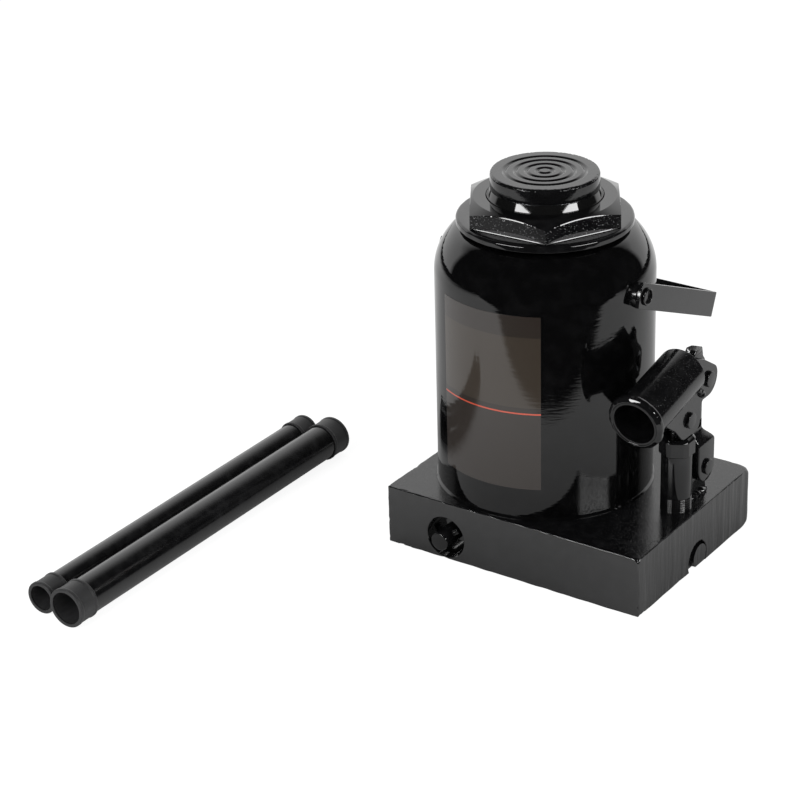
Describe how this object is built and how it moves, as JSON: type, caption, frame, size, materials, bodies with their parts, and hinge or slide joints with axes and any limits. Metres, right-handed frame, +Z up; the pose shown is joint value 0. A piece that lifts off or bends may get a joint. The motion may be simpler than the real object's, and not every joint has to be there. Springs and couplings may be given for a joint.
{
  "type": "bottle jack",
  "caption": "Black hydraulic bottle jack on a thick square base, with a hand pump and lever, a release valve, a swinging carrying strap and a two-part pump handle beside it.",
  "frame": {"origin": "on the ram's axis, at the underside of the base", "axes": "+Z up along the ram, +X towards the pump, -Y towards the release valve and the label"},
  "size_m": [0.3775, 0.4098, 0.2825],
  "materials": {
    "black_enamel": "gloss",
    "ground_steel": "satin",
    "seal_rubber": "matte",
    "gasket_copper": "satin",
    "cap_plastic": "matte",
    "label_vinyl": "satin"
  },
  "bodies": {
    "jack_body": {"base_block": "black_enamel", "link_lug": "black_enamel", "tank_shell": "black_enamel", "tank_gasket_lower": "seal_rubber", "tank_gasket_upper": "seal_rubber", "pressure_cylinder": "ground_steel", "cylinder_gasket": "gasket_copper", "cover_ring": "black_enamel", "gland_nut": "black_enamel", "gland_seal": "seal_rubber", "wiper_seal": "seal_rubber", "pump_cylinder": "black_enamel", "pump_washer": "gasket_copper", "pump_packing": "seal_rubber", "strap_bosses": "black_enamel", "strap_screws": "black_enamel", "release_ball": "ground_steel", "suction_ball": "ground_steel", "delivery_ball": "ground_steel", "delivery_spring": "ground_steel", "delivery_plug": "black_enamel", "overload_ball": "ground_steel", "overload_spring": "ground_steel", "overload_screw": "ground_steel", "filler_plug": "seal_rubber", "label": "label_vinyl"},
    "ram": {"ram": "ground_steel", "piston_seal": "seal_rubber", "saddle": "black_enamel"},
    "plunger": {"plunger": "ground_steel", "plunger_seal": "seal_rubber"},
    "link": {"link": "black_enamel", "base_pin": "black_enamel", "base_pin_clip": "ground_steel"},
    "lever": {"socket_tube": "black_enamel", "socket_rim": "black_enamel", "lever_cheek_near": "black_enamel", "lever_cheek_far": "black_enamel", "plunger_pin": "black_enamel", "link_pin": "black_enamel", "lever_pin_clips": "ground_steel"},
    "carry_strap": {"carry_strap": "black_enamel"},
    "release_valve": {"release_stem": "black_enamel", "release_cross_pin": "black_enamel", "release_seal": "seal_rubber"},
    "handle_large": {"handle_tube_large": "black_enamel", "handle_caps_large": "cap_plastic"},
    "handle_small": {"handle_tube_small": "black_enamel", "handle_caps_small": "cap_plastic"}
  },
  "joints": [
    {"name": "ram_lift", "type": "slide", "parent": "jack_body", "child": "ram", "axis": [0, 0, 1], "range_m": [0, 0.16]},
    {"name": "link_swing", "type": "hinge", "parent": "jack_body", "child": "link", "pos_m": [0.11, 0.026, 0.07], "axis": [-1, 0, 0], "range_deg": [0, 8]},
    {"name": "pump_lever", "type": "hinge", "parent": "link", "child": "lever", "pos_m": [0.11, 0.027, 0.139], "axis": [-1, 0, 0], "range_deg": [0, 33]},
    {"name": "plunger_stroke", "type": "slide", "parent": "jack_body", "child": "plunger", "axis": [0, 0, 1], "range_m": [0, 0.0225]},
    {"name": "carry_swing", "type": "hinge", "parent": "jack_body", "child": "carry_strap", "pos_m": [0, -0.005, 0.207], "axis": [1, 0, 0], "range_deg": [-8.5, 80]},
    {"name": "release_turn", "type": "hinge", "parent": "jack_body", "child": "release_valve", "pos_m": [-0.0343, -0.0833, 0.0176], "axis": [0, -1, 0], "range_deg": [0, 270]},
    {"name": "handle_large_lift", "type": "slide", "parent": "jack_body", "child": "handle_large", "axis": [0, 0, 1], "range_m": [0, 0.3]},
    {"name": "handle_small_lift", "type": "slide", "parent": "jack_body", "child": "handle_small", "axis": [0, 0, 1], "range_m": [0, 0.3]}
  ],
  "couplings": [
    {"joint": "link_swing", "follows": "pump_lever", "ratio": 0.227},
    {"joint": "plunger_stroke", "follows": "pump_lever", "m_per_rad": 0.0376}
  ]
}
